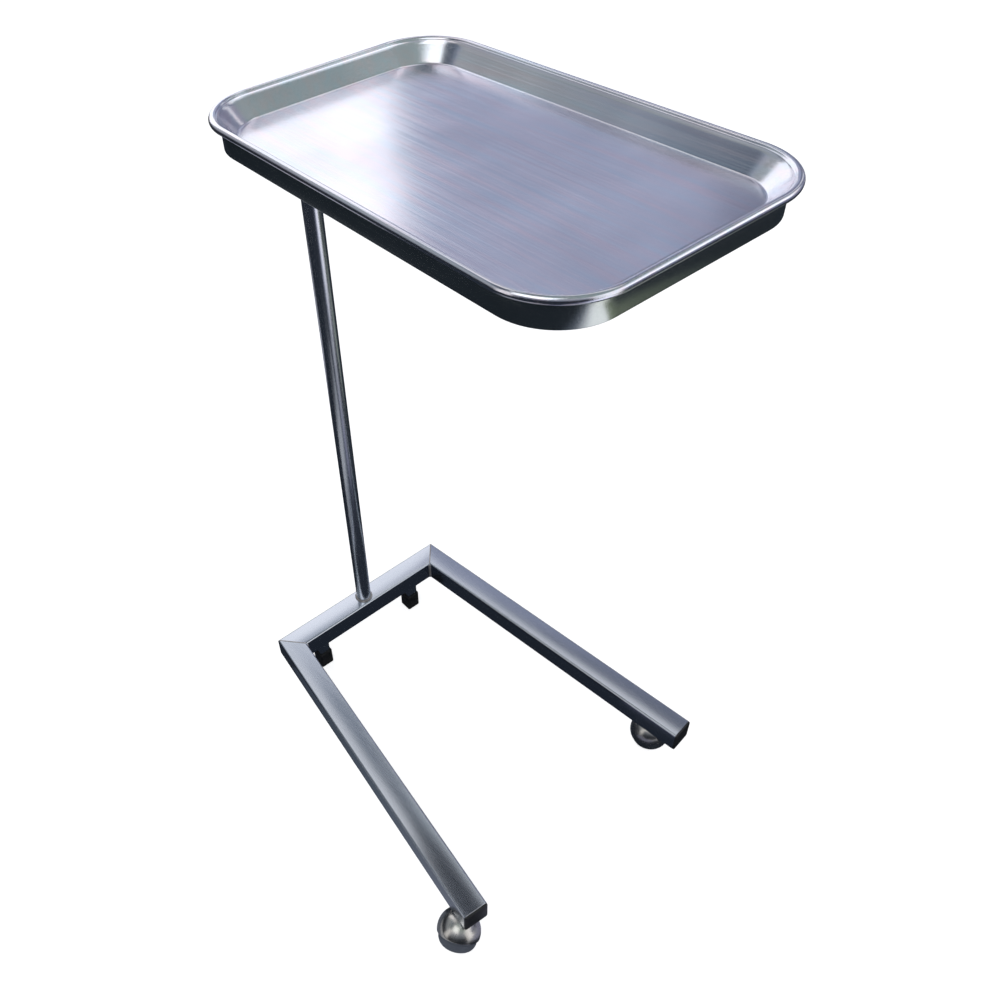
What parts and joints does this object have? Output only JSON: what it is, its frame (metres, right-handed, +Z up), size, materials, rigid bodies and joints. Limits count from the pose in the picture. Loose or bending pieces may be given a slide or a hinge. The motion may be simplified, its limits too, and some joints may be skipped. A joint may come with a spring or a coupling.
{
  "type": "mayo instrument stand",
  "caption": "Wheeled instrument stand: U-shaped square-tube base, telescopic round post at the rear and a lift-out rimmed steel tray in a flat-bar frame.",
  "frame": {"origin": "on the floor, on the plane of symmetry, midway between the crossbar's rear face and the tray's front rim", "axes": "+Z up, -Y towards the user and the open end of the base, +X to the right as seen from the user"},
  "size_m": [0.5058, 0.585, 1.032],
  "materials": {
    "base_steel": "square stainless tube, fine bright polish",
    "weld": "dressed weld bead",
    "plug_plastic": "moulded polyethylene, matt black",
    "foot_rubber": "black rubber",
    "post_steel": "polished stainless tube",
    "nylon": "natural nylon",
    "collar_steel": "turned stainless steel",
    "zinc_steel": "zinc plated steel",
    "knob_plastic": "moulded black plastic",
    "frame_steel": "polished flat bar",
    "tray_steel": "satin stainless sheet",
    "hood_nickel": "satin nickel plate",
    "wheel_plastic": "moulded nylon wheel core",
    "wheel_tread": "grey non-marking rubber"
  },
  "bodies": {
    "base": {"crossbar": "base_steel", "left_leg": "base_steel", "right_leg": "base_steel", "left_corner_weld": "weld", "right_corner_weld": "weld", "left_leg_plug": "plug_plastic", "right_leg_plug": "plug_plastic", "left_foot_stem": "base_steel", "right_foot_stem": "base_steel", "left_foot_cap": "foot_rubber", "right_foot_cap": "foot_rubber", "outer_post": "post_steel", "post_weld": "weld", "post_bush": "nylon", "clamp_collar": "collar_steel", "left_caster_stem": "zinc_steel", "left_caster_race": "zinc_steel", "left_caster_nut": "zinc_steel", "right_caster_stem": "zinc_steel", "right_caster_race": "zinc_steel", "right_caster_nut": "zinc_steel"},
    "clamp": {"clamp_screw": "zinc_steel", "clamp_knob": "knob_plastic"},
    "mast": {"mast": "post_steel", "mast_glide": "nylon", "mast_weld": "weld", "support_arm": "frame_steel", "rear_bearer": "frame_steel", "front_bearer": "frame_steel", "tray_frame": "frame_steel"},
    "tray": {"tray": "tray_steel"},
    "left_caster": {"left_caster_hood": "hood_nickel", "left_caster_axle": "zinc_steel"},
    "left_wheel": {"left_wheel_hub": "wheel_plastic", "left_wheel_tread": "wheel_tread"},
    "right_caster": {"right_caster_hood": "hood_nickel", "right_caster_axle": "zinc_steel"},
    "right_wheel": {"right_wheel_hub": "wheel_plastic", "right_wheel_tread": "wheel_tread"}
  },
  "joints": [
    {"name": "height_slide", "type": "slide", "parent": "base", "child": "mast", "axis": [0, 0, 1], "range_m": [0, 0.3]},
    {"name": "clamp_turn", "type": "hinge", "parent": "base", "child": "clamp", "pos_m": [0, 0.2735, 0.968], "axis": [1, 0, 0], "range_deg": [0, 720]},
    {"name": "tray_lift", "type": "slide", "parent": "mast", "child": "tray", "axis": [0, 0, 1], "range_m": [0, 0.15]},
    {"name": "left_swivel", "type": "hinge", "parent": "base", "child": "left_caster", "pos_m": [-0.20983, -0.23276, 0.06], "axis": [0, 0, 1], "continuous": true},
    {"name": "left_roll", "type": "hinge", "parent": "left_caster", "child": "left_wheel", "pos_m": [-0.22972, -0.24618, 0.031], "axis": [-0.5862, -0.3954, -0.7071], "continuous": true},
    {"name": "right_swivel", "type": "hinge", "parent": "base", "child": "right_caster", "pos_m": [0.20983, -0.23276, 0.06], "axis": [0, 0, 1], "continuous": true},
    {"name": "right_roll", "type": "hinge", "parent": "right_caster", "child": "right_wheel", "pos_m": [0.21399, -0.20913, 0.031], "axis": [0.1228, 0.6964, -0.7071], "continuous": true}
  ]
}
